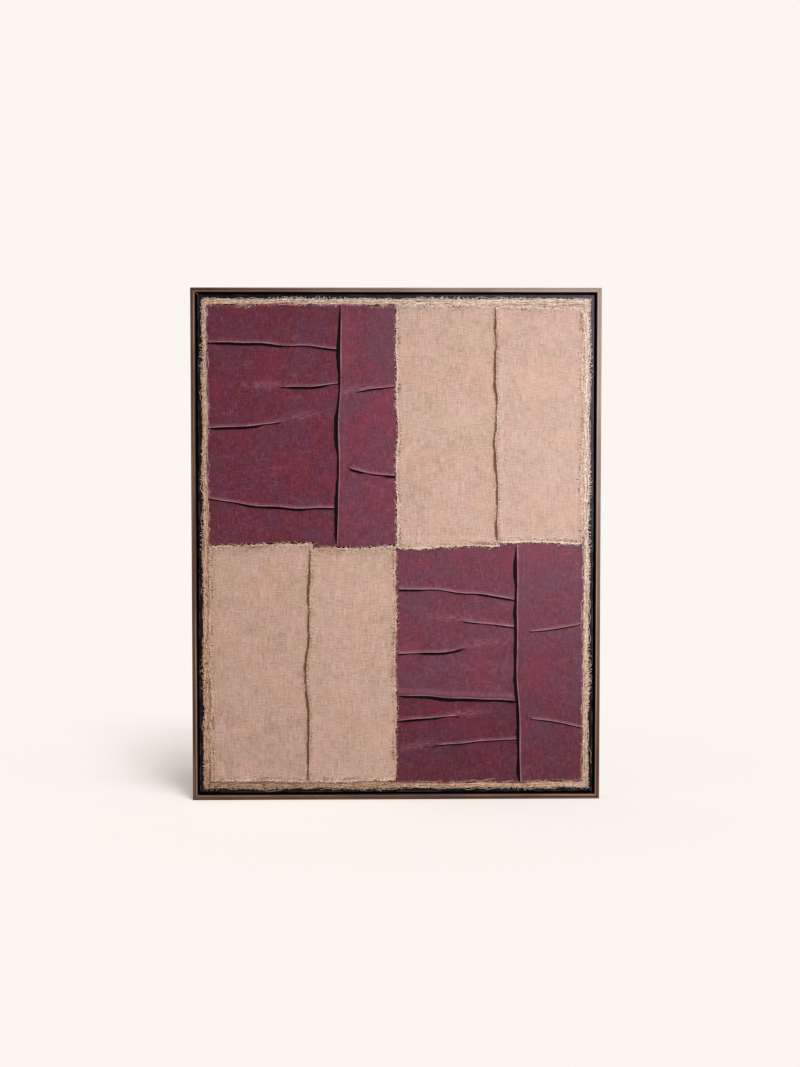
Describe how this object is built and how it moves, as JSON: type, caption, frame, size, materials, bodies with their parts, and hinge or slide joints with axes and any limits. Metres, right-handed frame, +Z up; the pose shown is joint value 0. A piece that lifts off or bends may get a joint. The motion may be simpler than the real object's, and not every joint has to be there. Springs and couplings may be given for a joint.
{
  "type": "framed linen wall hanging with floater frame",
  "caption": "Linen patchwork wall hanging with raised tucks and frayed edges, on a black panel in a slim bronze-brown floater frame.",
  "frame": {"origin": "on the floor, under the middle of the bottom rail", "axes": "+Z up, the cloth faces -Y, +X to the right as seen from the front"},
  "size_m": [0.82, 0.048, 1.028],
  "materials": {
    "frame_wood": "bronze-brown stained and waxed, satin, black on the inner faces",
    "black_panel": "painted black, matt",
    "linen_natural": "coarse natural linen, raw edges, matt",
    "linen_wine": "wine-dyed linen, sized flat with tucks, slight sheen"
  },
  "bodies": {
    "root": {"frame_rail_bottom": "frame_wood", "frame_rail_right": "frame_wood", "frame_rail_top": "frame_wood", "frame_rail_left": "frame_wood", "ground_panel": "black_panel", "ground_linen": "linen_natural", "wine_upper_left": "linen_wine", "wine_upper_middle": "linen_wine", "wine_lower_middle": "linen_wine", "wine_lower_foot": "linen_wine", "wine_lower_right": "linen_wine", "natural_upper_middle": "linen_natural", "natural_upper_right": "linen_natural", "natural_lower_left": "linen_natural", "natural_lower_middle": "linen_natural"}
  },
  "joints": []
}
